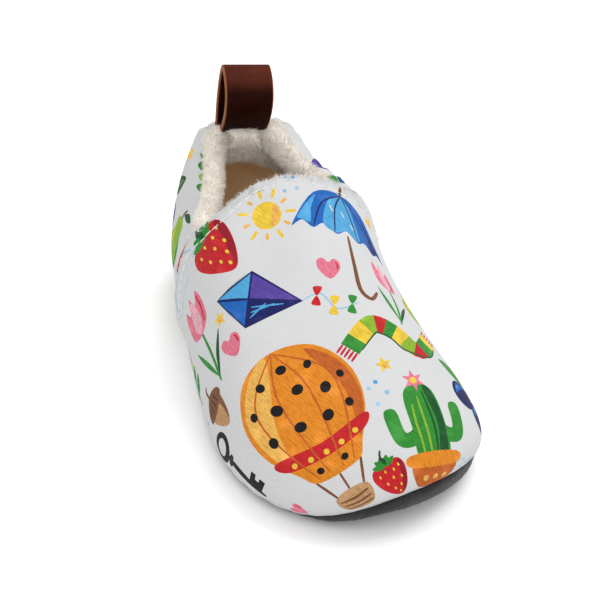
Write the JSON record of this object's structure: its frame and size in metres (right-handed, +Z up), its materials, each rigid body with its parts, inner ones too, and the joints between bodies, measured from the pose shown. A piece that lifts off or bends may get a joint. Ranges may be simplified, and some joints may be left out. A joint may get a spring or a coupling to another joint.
{
  "type": "baby slipper",
  "caption": "Soft slip-on slipper for a small child's right foot, with a hollow cloth upper, fleece lining, elasticated heel collar, leather pull loop and thin suede sole.",
  "frame": {"origin": "on the floor under the middle of the slipper's box", "axes": "+Y from toe to heel, +X toward the inner side of the foot, +Z up"},
  "size_m": [0.063, 0.1256, 0.0679],
  "materials": {
    "outsole": "dark grey suede with a short nap",
    "insole": "brown matt felt",
    "upper": "white printed twill over cream fleece",
    "pull_loop": "red-brown smooth leather"
  },
  "bodies": {
    "root": {"outsole": "outsole", "insole": "insole", "upper": "upper", "pull_loop": "pull_loop"}
  },
  "joints": []
}
